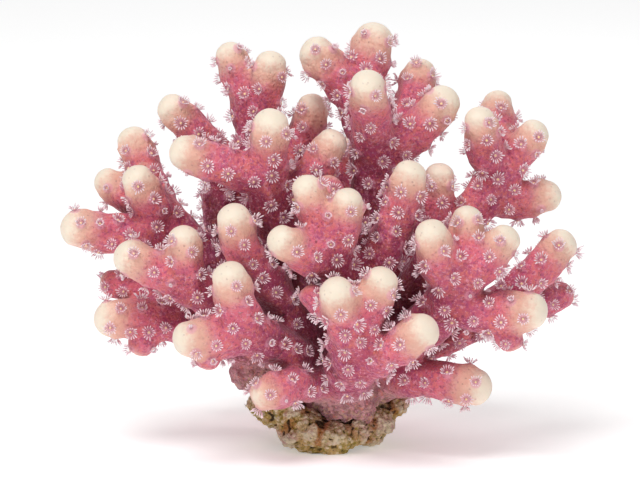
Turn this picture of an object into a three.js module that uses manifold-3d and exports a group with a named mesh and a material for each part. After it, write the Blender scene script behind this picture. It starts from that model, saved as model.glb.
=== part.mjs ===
// Cat's paw coral: a dense pink colony of blunt, knobbly fingers, grown on a loose lump of reef rock.
// Millimetres, +Z up. The origin is on the rock's flat foot, +X is to the right and -Y is the front.
import * as THREE from "three";
import { mergeVertices } from "three/addons/utils/BufferGeometryUtils.js";
import Module from "manifold-3d";

const wasm = await Module();
wasm.setup();

// Driving dimensions
const FINGER_ROOT = 5.9; // radius of a finger where it leaves its fork
const POLYP_HEIGHT = 1.2; // how far an open polyp stands out of the skin
const JOINT_GAP = 0.3; // space left where a branch is split from the trunk, and round the rock
const FORK_FULLNESS = 1.5; // how late along a branch its taper comes, so that its forks stay thick
const ROCK_ROUGHNESS = 0.08; // share of its radius by which a boulder's corners wander
const FOOT_BLOCK = 120; // side of the block that cuts the rock flat

// Facets
const SIDES = 6; // around a finger, even so that its polyps alternate
const RING_STEP = 6; // between the rings of a finger
const CAP_LIFT = 0.75; // latitude of the ring on a finger's rounded tip, in radians
const FRAME_STEPS = 60; // directions kept along a finger's path
const MERGE_DISTANCE = 1e-4;

// Colours
const CORAL_PINK = 0xd8707f;
const REEF_ROCK = 0x9a8763;

// A branch's leading shoot: its radius in the trunk, the radius of its tip and the points that it follows.
const shoot = (root, tip, ...path) => ({ root, tip, path });

// A finger that leaves another one: the radius of its tip, then its points from the fork to the tip's centre.
const finger = (tip, ...path) => shoot(Math.max(FINGER_ROOT, tip), tip, ...path);

// A bud that never grew out: one radius, then its points.
const bud = (radius, ...path) => shoot(radius, radius, ...path);

// A branch: how far along its leading shoot it is split from the trunk, then the shoot and its fingers.
const branch = (split, ...shoots) => ({ split, shoots });

// The short stump that spreads over the top of the rock, and the dead stub on its left.
const STUMP = [
  shoot(16.5, 13, [3, 0, 11], [5, -1, 18], [6, -1, 25]),
  shoot(10.5, 8, [8.5, -9, 12], [9, -13, 17], [8, -12, 23]),
  bud(5, [-8, 0, 17], [-16, -2, 20], [-23, -4, 22]),
];

const BRANCHES = {
  top_branch: branch(
    22,
    shoot(8.4, 5.4, [8, -1, 26], [12.5, -2, 46.5], [15.5, -4, 70], [16.5, -6, 86], [14, -22, 110.5]),
    finger(5.7, [16, -3, 76], [15, -1, 90], [9.5, 2, 106], [-0.5, 2, 117.5]),
    finger(6, [12.5, 0.5, 98], [13.5, 5, 111], [16, 8, 121]),
    finger(5.7, [16, -7, 84], [24.5, -6.5, 92], [31, -7.5, 98], [36, -8, 104]),
    finger(5.1, [23, -4, 90], [27, 4, 100], [30, 12, 110.5]),
  ),
  far_upper_left_branch: branch(
    28,
    shoot(7.5, 5.1, [2, 3, 26], [-8, 8, 40], [-22, 11, 56], [-30, 11, 72], [-20, 10, 90], [-15, 6, 113.5]),
    finger(4.6, [-20.5, 10, 89], [-21.5, 11, 103], [-27, 12, 116]),
    finger(5.1, [-26, 11, 68], [-11, 11, 80], [-5.5, 10, 90], [-2.5, 10, 100]),
    finger(4.9, [-27, 11, 76], [-34, 6, 90], [-44, 2, 101]),
  ),
  upper_left_branch: branch(
    28,
    shoot(7.2, 5.7, [1, -2, 26], [-3, -4, 40], [-9, -8, 58], [-15.5, -16.5, 80], [-14.5, -24, 99]),
    finger(5.5, [-15.5, -17, 80], [-27, -21, 87], [-39, -22, 91]),
    finger(5.1, [-13, -13, 71], [-3.5, -13, 82], [3, -12, 92]),
  ),
  right_branch: branch(
    26,
    shoot(7.4, 4.9, [9, -2, 26], [24, -4, 41], [35, -6, 57], [44, -6, 70], [51.5, -5, 79], [63.5, -4, 94]),
    finger(4.7, [33.5, -6, 56], [33.5, -8, 68], [35.5, -10, 82]),
    finger(4.8, [52, -4, 82], [53, 2, 92], [53.5, 8, 101.5]),
    finger(4.9, [50.5, -5, 80], [49.5, -9, 90], [47.5, -12, 99]),
    finger(5, [47, -5, 74], [57, -3, 74.5], [67.5, -2, 75.5]),
  ),
  left_branch: branch(
    28,
    shoot(7, 5.1, [3, -2, 26], [-9, -3, 34.5], [-25.5, -4, 50], [-46.5, -1, 69], [-56, 6, 90.5]),
    finger(4.6, [-47, -1, 70], [-56, 1, 73.5], [-63.5, 2, 79]),
    finger(5.1, [-45, -3, 67], [-50.5, -7, 74], [-54, -10, 81]),
    finger(5.7, [-41, -4, 64], [-58, -7, 64.5], [-72, -8, 66.5]),
  ),
  outer_left_branch: branch(
    28,
    shoot(6.5, 5.7, [0, -3, 24], [-22, -6, 30], [-38.5, -9, 37], [-50, -11, 39.5], [-62, -12, 40]),
    finger(4.3, [-36, -8, 36], [-49, -4, 46], [-62, -2, 49]),
    bud(4.4, [-46, -11, 38.5], [-51, -12, 36], [-53, -12, 33]),
  ),
  lower_left_branch: branch(
    29,
    shoot(6.8, 5.4, [2, -6, 24], [-12, -11, 32], [-28, -18, 44], [-39, -24, 52.5], [-55.5, -26, 60.5]),
    finger(5.1, [-36, -23, 51], [-39.5, -27, 58], [-40, -28, 65.5]),
  ),
  tall_front_left_finger: branch(
    28,
    shoot(6.6, 5.4, [3, -9, 24], [-7.5, -17, 38.5], [-15, -23, 52], [-22, -29, 62], [-25, -33, 72.5]),
  ),
  centre_branch: branch(
    20,
    shoot(8, 4.7, [7, -7, 25], [9.5, -16, 40], [7.5, -26, 54.5], [3, -32.5, 65], [-3.5, -36, 82]),
    finger(4.6, [4, -31, 62], [6.5, -36, 70], [8, -38, 78.5]),
    bud(4.4, [2, -32, 66], [3, -29, 74], [2.5, -27, 81]),
    finger(4.9, [5, -30, 59.5], [-3.5, -37.5, 63], [-10.5, -42, 68]),
    finger(5.2, [9, -20, 47], [18, -25.5, 61], [23, -28, 73.5], [26, -30, 85]),
  ),
  front_left_branch: branch(
    30,
    shoot(7, 5.6, [4, -9, 22], [-9.5, -24, 33], [-20, -34, 40], [-24, -39.5, 48], [-26, -42, 56.5]),
    finger(5.6, [-17, -32, 38], [-28, -38, 39.5], [-37.5, -40, 39]),
    bud(3.8, [-29, -38, 38.5], [-32, -38.5, 35], [-32.5, -38, 33]),
  ),
  front_right_branch: branch(
    24,
    shoot(8.2, 4.9, [10, -8, 24], [26, -17.5, 34.5], [36, -28.5, 46], [40.5, -33, 56], [43, -31, 72]),
    finger(5.2, [38, -31, 51], [34.5, -37, 61], [32.5, -40, 69]),
    finger(4.9, [39, -31.5, 52], [46.5, -35, 58.5], [53.5, -35.5, 67]),
    finger(5.7, [35.5, -28, 46], [49, -33, 45.5], [61, -36, 46.5]),
    bud(4.2, [50, -33, 44.5], [54, -33.5, 40.5], [55.5, -33, 38]),
  ),
  outer_right_branch: branch(
    30,
    shoot(6.4, 5.2, [11, -2, 24], [36, -8, 33], [52, -12, 43], [63, -11, 52], [71.5, -10, 61.5]),
    finger(4.3, [46, -10.5, 39], [61, -4, 42.5], [72.5, 2, 44.5]),
  ),
  front_branch: branch(
    20,
    shoot(9, 5.5, [6, -8, 18], [8, -22, 24], [10, -35, 33], [9, -41, 41], [5, -50, 53.5]),
    finger(5.2, [10, -37, 36], [14, -43, 47], [17.5, -46, 56]),
    bud(3.9, [7, -43, 44], [1, -41, 49], [-2, -39, 51]),
    finger(5.6, [9, -30, 28.5], [19, -41, 35], [29, -47, 42]),
  ),
  front_low_finger: branch(22, shoot(6.2, 5.4, [4, -12, 19.5], [-5.5, -29, 24], [-15, -38, 22.4])),
  right_low_finger: branch(
    25,
    shoot(5.7, 6, [12, -7, 19], [24, -15.5, 22.4], [35, -23.5, 23.8], [45, -26, 22]),
  ),
  back_top_branch: branch(
    22,
    shoot(7.5, 5.2, [5, 5, 27], [4, 15, 46], [2, 22, 63], [-3, 26, 76], [-6, 30, 88]),
    finger(5.2, [2, 21, 61], [7, 28, 74], [9, 34, 84]),
    finger(5.3, [3, 19, 56], [11, 33, 64], [15, 43, 69]),
    finger(5.3, [3, 19, 56], [-4, 33, 64], [-8, 43, 70]),
  ),
  back_left_branch: branch(
    24,
    shoot(7, 5.2, [1, 5, 26], [-12, 18, 37], [-21, 26, 49], [-24, 29, 62], [-24, 31, 76]),
    finger(5.4, [-20, 24, 46], [-26, 33, 53], [-30, 40, 60]),
    finger(5.2, [-19, 23, 44], [-31, 26, 46], [-42, 28, 47]),
  ),
  back_right_branch: branch(
    24,
    shoot(7, 5.2, [9, 5, 26], [19, 14, 40], [26, 21, 53], [25.5, 26, 67], [24, 30, 80]),
    finger(5.4, [25, 20, 50], [30, 30, 56], [33, 38, 61]),
    finger(5.2, [24, 18, 48], [36, 24, 52], [46, 28, 55]),
  ),
  back_low_left_branch: branch(
    26,
    shoot(6.8, 5.4, [0, 6, 22], [-12, 18, 23.5], [-21, 27, 26.5], [-30, 32, 29], [-38, 34, 32]),
    finger(5.3, [-20, 26, 26.5], [-22, 36, 33], [-22, 44, 40]),
  ),
  back_low_right_branch: branch(
    20,
    shoot(6.8, 5.4, [11, 5, 22], [22, 15, 26], [31, 21, 29.5], [39, 25, 31], [47, 28, 34]),
    finger(5.3, [28, 19, 28], [33, 32, 34], [34, 42, 40]),
  ),
  back_low_branch: branch(
    18,
    shoot(7.4, 5.4, [5, 7, 22], [5, 22, 27], [5, 33, 31], [0, 40, 36.5], [-5, 47, 43]),
    finger(5.4, [5, 30, 30], [11, 40, 34], [15, 48, 40]),
    finger(5.3, [5, 29, 29], [3, 41, 26], [2, 51, 23]),
    finger(5.2, [5, 26, 28], [-8, 37, 25], [-17, 44, 23]),
    finger(5.2, [5, 26, 28], [16, 36, 25], [24, 43, 23]),
  ),
};

// The rock's boulders: centre, radius and height as a share of the radius.
const BOULDERS = [
  [[3, 0, 6], 16, 0.55],
  [[-4, -14.5, 6], 6.5, 1],
  [[-9.5, -14, 12], 4.6, 0.9],
  [[5, -16, 4.5], 6, 1],
  [[10.5, -15, 7], 4.6, 0.9],
  [[14.5, -8, 9], 7.5, 1],
  [[20.5, -3, 12], 6, 0.9],
  [[-15, -5, 12], 6.5, 0.95],
  [[-7, 11, 7], 8, 0.9],
  [[9, 12, 6.5], 8.5, 0.9],
];

// A repeatable number from -1 to 1 for a pair of counters.
function wander(first, second) {
  const wave = Math.sin(first * 12.9898 + second * 78.233) * 43758.5453;
  return 2 * (wave - Math.floor(wave)) - 1;
}

// A geometry with one corner at each place, so that a corner that moves takes all its faces along.
function joinedCorners(geometry) {
  const bare = new THREE.BufferGeometry();
  bare.setAttribute("position", geometry.attributes.position);
  bare.setIndex(geometry.index);
  return mergeVertices(bare, MERGE_DISTANCE);
}

// A closed geometry as a solid, without the triangles that collapse where a lathe's profile meets its axis.
function solidOf(geometry) {
  const merged = joinedCorners(geometry);
  const corners = merged.index.array;
  const triVerts = [];
  for (let i = 0; i < corners.length; i += 3) {
    const [a, b, c] = corners.slice(i, i + 3);
    if (a !== b && b !== c && c !== a) triVerts.push(a, b, c);
  }
  const vertProperties = merged.attributes.position.array;
  const mesh = new wasm.Mesh({ numProp: 3, vertProperties, triVerts: Uint32Array.from(triVerts) });
  return new wasm.Manifold(mesh);
}

// A solid's surface as a geometry that three.js can draw.
function geometryOf(solid) {
  const mesh = solid.getMesh();
  const geometry = new THREE.BufferGeometry();
  geometry.setAttribute("position", new THREE.BufferAttribute(mesh.vertProperties, 3));
  geometry.setIndex(new THREE.BufferAttribute(mesh.triVerts, 1));
  geometry.computeVertexNormals();
  return geometry;
}

// Polyps open on every second corner of a ring, each ring half a step round from the last.
const hasPolyp = (ring, side) => (ring + side) % 2 === 0;

// A length of a shoot as a turned club bent along its path, with a nub where each polyp opens.
// It runs from one distance along the path to the rounded tip, or straight and bare to a saw cut short of it.
// Its start is a point hidden in the parent finger, or another saw cut.
function clubSolid({ root, tip, path }, { from = 0, to = Infinity, flatStart = false } = {}) {
  const points = path.map((point) => new THREE.Vector3(...point));
  const curve = new THREE.CatmullRomCurve3(points, false, "centripetal");
  const length = curve.getLength();
  const end = Math.min(to, length);
  const isWhole = to > length;
  const rings = isWhole ? Math.max(2, Math.round((end - from) / RING_STEP)) : 1;
  const radiusAt = (distance) => THREE.MathUtils.lerp(root, tip, (distance / length) ** FORK_FULLNESS);

  const profile = [new THREE.Vector2(0, from)];
  for (let ring = flatStart ? 0 : 1; ring <= rings; ring++) {
    const distance = THREE.MathUtils.lerp(from, end, ring / rings);
    profile.push(new THREE.Vector2(radiusAt(distance), distance));
  }
  const bodyRows = profile.length;
  if (isWhole) {
    profile.push(new THREE.Vector2(tip * Math.cos(CAP_LIFT), length + tip * Math.sin(CAP_LIFT)));
    profile.push(new THREE.Vector2(0, length + tip));
  } else {
    profile.push(new THREE.Vector2(0, end));
  }

  const club = new THREE.LatheGeometry(profile, SIDES);
  const frames = curve.computeFrenetFrames(FRAME_STEPS, false);
  const corners = club.attributes.position;
  for (let i = 0; i < corners.count; i++) {
    const row = i % profile.length;
    const side = Math.floor(i / profile.length) % SIDES;
    const isNub = isWhole && row > 1 && row < bodyRows && hasPolyp(row, side);
    const spread = isNub ? 1 + POLYP_HEIGHT / profile[row].x : 1;
    const along = Math.min(profile[row].y, length);
    const step = Math.round((FRAME_STEPS * along) / length);
    const place = curve.getPointAt(along / length);
    place.addScaledVector(frames.tangents[step], profile[row].y - along);
    place.addScaledVector(frames.binormals[step], corners.getX(i) * spread);
    place.addScaledVector(frames.normals[step], corners.getZ(i) * spread);
    corners.setXYZ(i, place.x, place.y, place.z);
  }
  return solidOf(club);
}

const fuse = (solids) => solids.reduce((whole, solid) => whole.add(solid));

// A branch beyond its saw cut: the leading shoot with the fingers fused to it.
function branchSolid({ split, shoots: [leader, ...fingers] }) {
  const cutLeader = clubSolid(leader, { from: split + JOINT_GAP, flatStart: true });
  return fuse([cutLeader, ...fingers.map((part) => clubSolid(part))]);
}

// One rough boulder of the rock.
function boulderSolid([centre, radius, height], grow) {
  const ball = joinedCorners(new THREE.IcosahedronGeometry(radius, 1));
  const corners = ball.attributes.position;
  const middle = new THREE.Vector3(...centre);
  const squash = new THREE.Vector3(1, 1, height);
  for (let i = 0; i < corners.count; i++) {
    const corner = new THREE.Vector3().fromBufferAttribute(corners, i);
    corner.multiplyScalar(1 + ROCK_ROUGHNESS * wander(i, centre[0] + centre[1])).multiply(squash);
    corner.setLength(corner.length() + grow).add(middle);
    corners.setXYZ(i, corner.x, corner.y, corner.z);
  }
  return solidOf(ball);
}

// The rock, cut off flat where it stands.
function rockSolid(grow) {
  const ground = new THREE.BoxGeometry(FOOT_BLOCK, FOOT_BLOCK, FOOT_BLOCK).translate(0, 0, -FOOT_BLOCK / 2);
  return fuse(BOULDERS.map((boulder) => boulderSolid(boulder, grow))).subtract(solidOf(ground));
}

// The trunk: the stump with the stub of every branch, hollowed where it sits on the rock.
function trunkSolid() {
  const stump = STUMP.map((part) => clubSolid(part, { flatStart: true }));
  const stubs = Object.values(BRANCHES).map(({ split, shoots: [leader] }) =>
    clubSolid(leader, { to: split, flatStart: true }),
  );
  return fuse([...stump, ...stubs]).subtract(rockSolid(JOINT_GAP));
}

// A finished piece, with a material of its own.
function namedMesh(name, solid, color, roughness) {
  const material = new THREE.MeshStandardMaterial({ color, roughness, metalness: 0 });
  const mesh = new THREE.Mesh(geometryOf(solid), material);
  mesh.name = name;
  return mesh;
}

const coral = new THREE.Group();
coral.add(namedMesh("rock", rockSolid(0), REEF_ROCK, 0.95));
coral.add(namedMesh("trunk", trunkSolid(), CORAL_PINK, 0.6));
for (const [name, limb] of Object.entries(BRANCHES)) {
  coral.add(namedMesh(name, branchSolid(limb), CORAL_PINK, 0.6));
}

export default coral;
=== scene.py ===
"""Cat's paw coral: a pink branching colony with pale finger tips and open polyps, on its loose stone."""

import heapq
import math

import bmesh
import bpy
import numpy as np
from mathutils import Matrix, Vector
from mathutils.bvhtree import BVHTree
from mathutils.kdtree import KDTree


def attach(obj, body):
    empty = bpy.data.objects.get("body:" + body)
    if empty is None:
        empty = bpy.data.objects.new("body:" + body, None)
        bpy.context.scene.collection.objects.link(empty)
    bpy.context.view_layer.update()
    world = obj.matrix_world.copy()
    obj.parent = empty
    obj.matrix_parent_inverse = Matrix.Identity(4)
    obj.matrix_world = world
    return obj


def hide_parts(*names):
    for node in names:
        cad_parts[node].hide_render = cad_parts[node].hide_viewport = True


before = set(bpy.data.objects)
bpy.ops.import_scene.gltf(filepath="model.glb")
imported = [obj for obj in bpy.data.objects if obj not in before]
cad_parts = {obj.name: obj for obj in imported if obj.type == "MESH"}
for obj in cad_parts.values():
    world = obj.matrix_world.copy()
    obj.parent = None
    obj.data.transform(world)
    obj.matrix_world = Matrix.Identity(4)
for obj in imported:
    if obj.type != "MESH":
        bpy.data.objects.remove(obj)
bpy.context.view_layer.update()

bl_info = {
    "name": "Cat's Paw Coral",
    "version": (1, 0, 0),
    "blender": (4, 5, 0),
    "location": "View3D > Sidebar > Coral",
    "description": "Dresses the packed coral with its skin, polyps, stone and studio",
    "category": "Object",
}

# Nodes
ROCK_NODE = "rock"
TRUNK_NODE = "trunk"
PALE_FINGER = "front_low_finger"
CORAL_NODES = sorted(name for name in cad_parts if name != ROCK_NODE)
SAME_POINT = 1e-6  # corners this close are one, in metres

# Solid fingers and their caps
FINGER_SIDES = 6  # sides of a solid finger
FINGER_RADIUS = 0.0053  # usual radius of a finger, in metres
CAP_LIFT = 0.75  # latitude of the ring on a solid finger's tip, in radians
SPOKE_SPREAD = 1.05  # longest edge at a finger's pole, in lengths of the shortest
POINTED = 0.2  # least height of a pole over its ring, in radii of the ring
BUD_LACK = 0.007  # length of cap that a bud or the trunk's own stub lacks, in metres
PALE_LACK = 0.004  # length of cap that the low front finger lacks, in metres
DOME_FADE = 0.5  # length over which a tip's dome sets in and fades out, in radii
DOME_REACH = 1.8  # distance from a tip's middle where its dome ends, in radii

# What the skin keeps per vertex
PATH_SCALE = 0.06  # distance from a tip that counts as 1, in metres
WEB_PASSES = 12  # steps over which a web's hollow is averaged
WEB_BEND = 0.06  # hollow of a full web, in edges of the mesh
GLOOM_RAYS = 40  # directions in which other branches are looked for
GLOOM_STEP = 14  # one vertex in this many looks
GLOOM_START = 0.002  # height over the skin where a look starts, in metres
GLOOM_FACING = 0.15  # least share of a look that points away from the skin
GLOOM_FADE = 0.5  # how much less a branch at the end of the reach counts
GLOOM_PASSES = 8  # steps over which the gloom is averaged

# Polyps
POLYP_FORMS = ((1.0, 1.0, 0.86), (0.62, 0.85, 0.11), (0.25, 0.55, 0.03))  # spread, size, share of each
POLYP_SEED = 7
POLYP_SIZES = (0.85, 1.12)  # smallest and largest polyp of a form
POLYP_CLEARANCE = 0.0018  # height over the skin from which a polyp needs room, in metres
TRIED_SHARE = 4  # one vertex in this many is tried as a polyp's place
CAP_RANGE = (0.95, 1.5)  # how far a bare cap reaches, in lengths of the setting
GAP_RANGE = (0.7, 1.3)  # how far a bare gap reaches, in shares of the setting
UNDERSIDE = (-1.2, -0.15)  # range of the slope below which no polyp sits
UPRIGHT = 0.9  # slope from which a direction counts as upright
SWAY = 0.1  # spread of the tentacles' lengths
DISC_RADIUS = 0.16  # radius of the disc, in widths of a polyp
SHUT_WIDTH = 1.1  # least radius at the tentacles' ends, in radii of the disc
SHUT_RISE = 0.3  # how much higher a shut polyp stands
ROOT_REACH = 0.3  # mark of a tentacle's root, where its end is 1
MOUTH_SIDES = 6
MOUTH_FOOT = 1.15  # radius of the mouth's mound at its foot, in radii of the disc
MOUTH_TOP = 0.35  # radius of the mouth's mound at its top, in radii of the disc
MOUTH_HEIGHT = 0.0004  # in metres
CALYX_REACH = 1.25  # radius of the mound under a polyp, in radii of the polyp

# Stone
CRUST_PASSES = 12  # smoothing of the crust between the boulders
CRUST_CUT = 0.7  # share of the crust's thickness that comes off again
CLOUD_HEIGHT = 1.2  # height of the uneven swellings, in heights of a knob
KNOB_PASSES = 3  # smoothing of the knobs
KNOB_SPAN = 1.6  # height from a hollow to a full knob, in heights of a knob
GAP_PASSES = 20  # steps over which a gap's hollow is averaged
GAP_BEND = 0.2  # range from a crest to a full gap, in edges of the mesh
PIT_PASSES = 2  # steps over which a pit's hollow is averaged
PIT_BEND = 0.4  # range from a crest to a full pit, in edges of the mesh
FOOT_CUT = 0.0002  # height of the flat cut, in metres
SHARP_ANGLE = math.radians(60)  # edges of the stone sharper than this stay sharp

# Stage, in metres
FLOOR_SIZE = 8.0
VIEW_END = 20.0
SENSOR = 36.0  # width of the camera's sensor, in millimetres
COLONY_MIDDLE = (0.0, 0.0, 0.06)
LAMPS = (
    ("key light", (-0.3, -0.62, 1.15), 0.65, COLONY_MIDDLE, "key"),
    ("fill light", (0.9, -0.7, 0.5), 1.0, COLONY_MIDDLE, "fill"),
    ("rim light", (0.2, 0.9, 0.8), 0.8, COLONY_MIDDLE, "fill"),
    ("floor light", (0.0, 1.7, 1.4), 1.6, (0.0, 1.4, 0.0), "back"),
)  # name, place, width, aim and power of each lamp


# Settings


def linear(red, green, blue):
    """A screen colour in 0 to 255 as the linear colour that materials take."""
    return tuple(
        c / 12.92 if c <= 0.04045 else ((c + 0.055) / 1.055) ** 2.4
        for c in (red / 255, green / 255, blue / 255)
    )


def colour(name, description, red, green, blue):
    """A colour property with its default given as a screen colour."""
    return bpy.props.FloatVectorProperty(
        name=name,
        description=description,
        subtype="COLOR",
        size=3,
        min=0.0,
        max=1.0,
        default=linear(red, green, blue),
    )


def number(name, description, default, **kind):
    """A number property, with the unit or subtype that fits it."""
    return bpy.props.FloatProperty(name=name, description=description, default=default, **kind)


def length(name, description, metres):
    """A length property in metres."""
    return number(name, description, metres, unit="LENGTH", precision=5)


def count(name, description, default):
    """A whole number property."""
    return bpy.props.IntProperty(name=name, description=description, default=default)


class CoralSkinSettings(bpy.types.PropertyGroup):
    """The living skin over the branches."""

    growth: length("Growth", "How far the skin stands off the solid branches", 0.0002)
    grain: length("Grain", "Edge length of the skin's mesh", 0.0007)
    rounding: count("Rounding", "Smoothing passes that round the fingers and webs", 36)
    lump_height: length("Lumps", "Height of the low lumps in the skin", 0.0004)
    lump_size: length("Lump size", "Width of the low lumps in the skin", 0.006)
    foot_reach: length("Foot", "How far above the stone the skin is old and grainy", 0.015)
    foot_knob: length("Foot knobs", "Width of the knobs in the skin beside the stone", 0.0024)
    # how far off other branches lay painted shade on the skin
    gloom_reach: length("Gloom reach", "How near other branches darken the skin", 0.04)
    bud_radius: length("Bud radius", "Fingers thinner than this have no pale cap", 0.0045)
    cream: colour("Cap", "Cream of the growing tips", 250, 234, 214)
    peach: colour("Cap edge", "Peach where a cap turns pink", 240, 186, 166)
    pink: colour("Finger", "Pink of the fingers", 232, 115, 136)
    rose: colour("Branch", "Deeper pink of the branches", 182, 66, 102)
    # partly painted shade: the dark end of the tip-to-base ramp stands in for shade deep inside the colony
    maroon_and_shade: colour("Inside", "Dark pink deep inside the colony", 122, 38, 58)
    salmon: colour("Salmon patch", "Warm patches in the skin", 236, 138, 118)
    violet: colour("Violet patch", "Cool patches in the skin", 180, 78, 128)
    lilac: colour("Web", "Pale lilac of the webs and the calyces", 236, 166, 186)
    old: colour("Old foot", "Dull pink of the old skin near the stone", 220, 164, 166)
    tan: colour("Worn foot", "Tan of the worn skin beside the stone", 220, 186, 140)
    # painted shade: dark red laid on where other branches shut the skin in
    painted_gap_shade: colour("Gaps", "Dark red between the branches", 112, 30, 40)
    speck: colour("Speck", "Fine dark specks", 112, 30, 58)


class CoralPolypSettings(bpy.types.PropertyGroup):
    """The open polyps on the skin."""

    across: length("Across", "Width of an open polyp", 0.0039)
    stand: length("Stand", "Height of an open polyp", 0.0015)
    spacing: length("Spacing", "Smallest distance between two polyps", 0.0051)
    bare_cap: length("Bare cap", "Length of a finger's tip without polyps", 0.006)
    bare_web: number("Bare web", "How hollow the skin may be under a polyp", 0.3, subtype="FACTOR")
    bare_gap: number("Bare gap", "How shut in by other branches a polyp may be", 0.5, subtype="FACTOR")
    bare_foot: number("Bare foot", "How near the stone a polyp may sit, 1 on it", 0.14, subtype="FACTOR")
    tentacles: count("Tentacles", "Tentacles of one polyp", 14)
    upturn: number("Upturn", "How far the polyps turn up to the light", 0.3, subtype="FACTOR")
    mound: length("Mound", "Height of the low mound under a polyp", 0.0004)
    rod: length("Rod", "Radius of a tentacle below its bead", 0.00009)
    bead: length("Bead", "Radius of the bead at a tentacle's end", 0.00018)
    # painted light: the tentacles give off a little light of their own, in place of light shining through
    # them
    glow: number("Glow", "Light that shines through the thin tentacles", 0.1)
    disc_colour: colour("Disc", "Pink of the disc round the mouth", 208, 136, 158)
    root_colour: colour("Tentacle root", "Pale lilac of the tentacles", 236, 186, 202)
    tip_colour: colour("Tentacle end", "White of the tentacle ends", 252, 228, 234)
    mouth_colour: colour("Mouth", "Yellow of the mouths", 246, 214, 150)


class CoralRockSettings(bpy.types.PropertyGroup):
    """The loose stone under the colony."""

    grain: length("Grain", "Edge length of the stone's mesh", 0.0005)
    crust: length("Crust", "How much growth fills the gaps between the boulders", 0.0018)
    knob_height: length("Knobs", "Height of the stone's knobs", 0.0036)
    knob_size: length("Knob size", "Width of the stone's knobs", 0.0078)
    grit_height: length("Grit", "Height of the grains on the knobs", 0.0011)
    grit_size: length("Grit size", "Width of the grains on the knobs", 0.0016)
    shoulder: length("Shoulder", "How far from the trunk the stone is overgrown", 0.006)
    olive: colour("Olive", "Green growth on the stone", 172, 150, 62)
    # also painted shade: the dark brown laid into the gaps, pits and low ground between the knobs
    umber_and_shade: colour("Umber", "Dark brown of the hollows", 48, 30, 16)
    tan: colour("Tan", "Tan of the bare stone", 224, 186, 118)
    # also painted highlight on the tops of the grains
    chalk: colour("Chalk", "Cream of the worn knobs", 250, 236, 206)
    lilac: colour("Lilac", "Lilac crust on the knobs", 226, 180, 186)
    rust: colour("Rust", "Orange and red growth in the hollows", 190, 92, 34)


class CoralStageSettings(bpy.types.PropertyGroup):
    """Camera, floor and light."""

    distance: length("Distance", "Camera distance", 1.2)
    aim: length("Aim", "How far above the foot the camera aims, along its own up", 0.0612)
    elevation: number("Elevation", "Camera angle above the floor", math.radians(8.77), subtype="ANGLE")
    lens: number("Lens", "Focal length", 222.4, unit="CAMERA")
    floor: colour("Floor", "Pale floor", 250, 250, 250)
    floor_glow: number("Floor glow", "Light that the floor gives off, as a lit table does", 0.33)
    key: number("Key", "Strength of the main light", 10.8, unit="POWER")
    fill: number("Fill", "Strength of the filling and the rim light", 1.2, unit="POWER")
    back: number("Floor light", "Strength of the light on the floor behind", 9.0, unit="POWER")
    sky: number("Sky", "Strength of the light all round", 0.26)


# Modelling


def clear_selection():
    """Leaves edit mode and deselects everything."""
    if bpy.context.object and bpy.context.object.mode != "OBJECT":
        bpy.ops.object.mode_set(mode="OBJECT")
    bpy.ops.object.select_all(action="DESELECT")


def take(piece):
    """Makes the piece the only selected and the active one."""
    clear_selection()
    piece.select_set(True)
    bpy.context.view_layer.objects.active = piece


def finish_modifier(piece, kind, **settings):
    """Adds a modifier to the piece and applies it."""
    take(piece)
    bpy.ops.object.modifier_add(type=kind)
    modifier = piece.modifiers[-1]
    for key, value in settings.items():
        setattr(modifier, key, value)
    bpy.ops.object.modifier_apply(modifier=modifier.name)


def raise_bumps(piece, kind, width, height, **more):
    """Raises a texture of bumps this wide and high on the piece, or sinks them if the height is below 0."""
    bumps = bpy.data.textures.new(piece.name + " " + kind.lower(), kind)
    bumps.noise_scale = width
    finish_modifier(
        piece, "DISPLACE", texture=bumps, texture_coords="LOCAL", strength=height, mid_level=0.5, **more
    )


def merged_copy(nodes, title):
    """A copy of these CAD nodes as one object, with their loose triangles merged."""
    clear_selection()
    for name in nodes:
        copy = bpy.data.objects.new(title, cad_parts[name].data.copy())
        bpy.context.collection.objects.link(copy)
        copy.select_set(True)
        bpy.context.view_layer.objects.active = copy
    if len(nodes) > 1:
        bpy.ops.object.join()
    piece = bpy.context.view_layer.objects.active
    piece.name = piece.data.name = title
    piece.data.materials.clear()
    bpy.ops.object.mode_set(mode="EDIT")
    bpy.ops.mesh.select_all(action="SELECT")
    bpy.ops.mesh.remove_doubles(threshold=SAME_POINT)
    bpy.ops.mesh.customdata_custom_splitnormals_clear()
    bpy.ops.object.mode_set(mode="OBJECT")
    return piece


def swollen_copy(nodes, title, swell, grain, passes):
    """One smooth, even mesh over these CAD nodes, swollen by this much."""
    piece = merged_copy(nodes, title)
    finish_modifier(piece, "DISPLACE", strength=swell, mid_level=0.0)
    finish_modifier(piece, "REMESH", mode="VOXEL", voxel_size=grain)
    piece = keep_largest(piece)
    finish_modifier(piece, "SMOOTH", factor=0.5, iterations=passes)
    return piece


def keep_largest(piece):
    """Deletes every loose shell of the piece but the largest."""
    take(piece)
    bpy.ops.object.mode_set(mode="EDIT")
    bpy.ops.mesh.select_all(action="SELECT")
    bpy.ops.mesh.separate(type="LOOSE")
    bpy.ops.object.mode_set(mode="OBJECT")
    shells = sorted(bpy.context.selected_objects, key=lambda o: len(o.data.vertices))
    clear_selection()
    for shell in shells[:-1]:
        shell.select_set(True)
    if len(shells) > 1:
        bpy.ops.object.delete()
    return shells[-1]


def points_of(mesh):
    """The mesh's vertices as an array."""
    flat = np.empty(len(mesh.vertices) * 3)
    mesh.vertices.foreach_get("co", flat)
    return flat.reshape(-1, 3)


def move_points(mesh, points):
    """Puts the mesh's vertices at these places."""
    mesh.vertices.foreach_set("co", points.ravel())
    mesh.update()


def normals_of(mesh):
    """The mesh's vertex normals as an array."""
    flat = np.empty(len(mesh.vertices) * 3, dtype=np.float32)
    mesh.vertex_normals.foreach_get("vector", flat)
    return flat.reshape(-1, 3).astype(float)


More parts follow.
